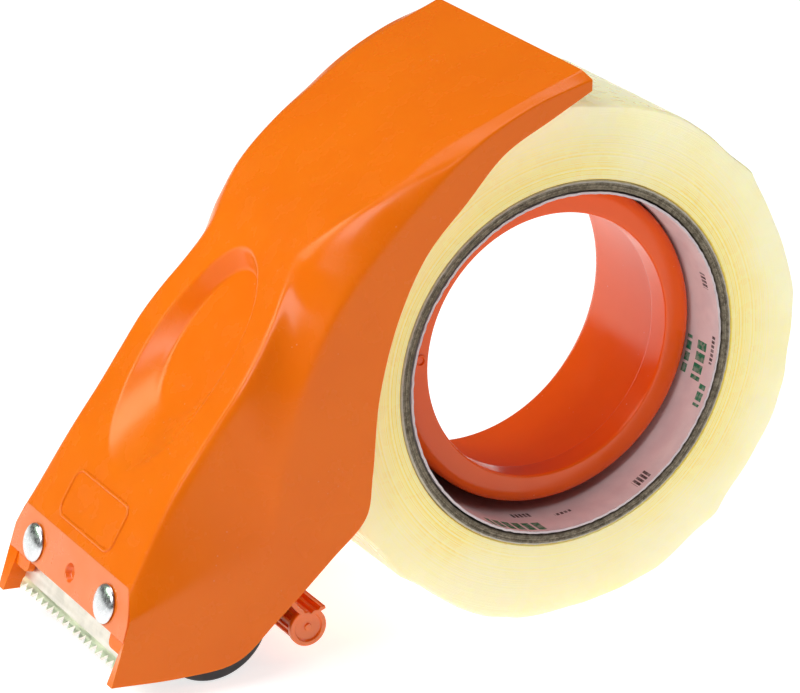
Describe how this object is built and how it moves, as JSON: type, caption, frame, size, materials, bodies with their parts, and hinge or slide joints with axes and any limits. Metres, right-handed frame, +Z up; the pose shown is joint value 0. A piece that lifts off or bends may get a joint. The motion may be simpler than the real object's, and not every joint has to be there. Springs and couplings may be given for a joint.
{
  "type": "tape dispenser",
  "caption": "Hand-held packing tape dispenser: curved shell handle with thumb recess, toothed blade, press roller, guide roller and flap, and a roll of clear tape on an open hub.",
  "frame": {"origin": "centre of the bounding box at floor level, where the press roller and the tape roll touch the floor", "axes": "+Z up with the dispenser standing on its two rollers, -X the blade end, +X the tape roll, -Y the open side the roll goes on from, +Y the side that carries the hub"},
  "size_m": [0.1674, 0.0652, 0.1259],
  "materials": {
    "body_plastic": "glossy injection-moulded orange plastic",
    "hub_plastic": "glossy injection-moulded red-orange plastic",
    "blade_steel": "bright rolled steel strip",
    "rivet_metal": "polished domed heads",
    "roller_rubber": "dull dark grey rubber",
    "roller_core_plastic": "satin",
    "bush_plastic": "satin",
    "axle_steel": "drawn steel rod",
    "guide_plastic": "glossy injection-moulded orange plastic",
    "liner_paper": "pale pink printed paper",
    "core_board": "raw layered board edge",
    "tape_film": "glossy clear film with yellow adhesive"
  },
  "bodies": {
    "body": {"body_shell": "body_plastic", "tape_hub": "hub_plastic", "blade": "blade_steel", "rivet_near": "rivet_metal", "rivet_far": "rivet_metal", "press_roller_axle": "axle_steel", "guide_roller_axle": "axle_steel"},
    "press_roller": {"press_roller_rubber": "roller_rubber", "press_roller_core": "roller_core_plastic", "press_roller_bush_near": "bush_plastic", "press_roller_bush_far": "bush_plastic"},
    "guide_roller": {"guide_roller_sleeve": "guide_plastic", "guide_roller_cap": "guide_plastic"},
    "flap": {"guide_flap": "guide_plastic"},
    "tape_roll": {"core_liner": "liner_paper", "core_tube": "core_board", "tape_winding": "tape_film"}
  },
  "joints": [
    {"name": "tape_roll_spin", "type": "hinge", "parent": "body", "child": "tape_roll", "pos_m": [0.02536, 0, 0.0583], "axis": [0, 1, 0], "continuous": true},
    {"name": "press_roller_spin", "type": "hinge", "parent": "body", "child": "press_roller", "pos_m": [-0.05755, 0, 0.0128], "axis": [0, 1, 0], "continuous": true},
    {"name": "guide_roller_spin", "type": "hinge", "parent": "body", "child": "guide_roller", "pos_m": [-0.03478, 0, 0.00752], "axis": [0, 1, 0], "continuous": true},
    {"name": "guide_flap_hinge", "type": "hinge", "parent": "body", "child": "flap", "pos_m": [-0.04083, 0, 0.02408], "axis": [0, -1, 0], "range_deg": [0, 22]}
  ]
}
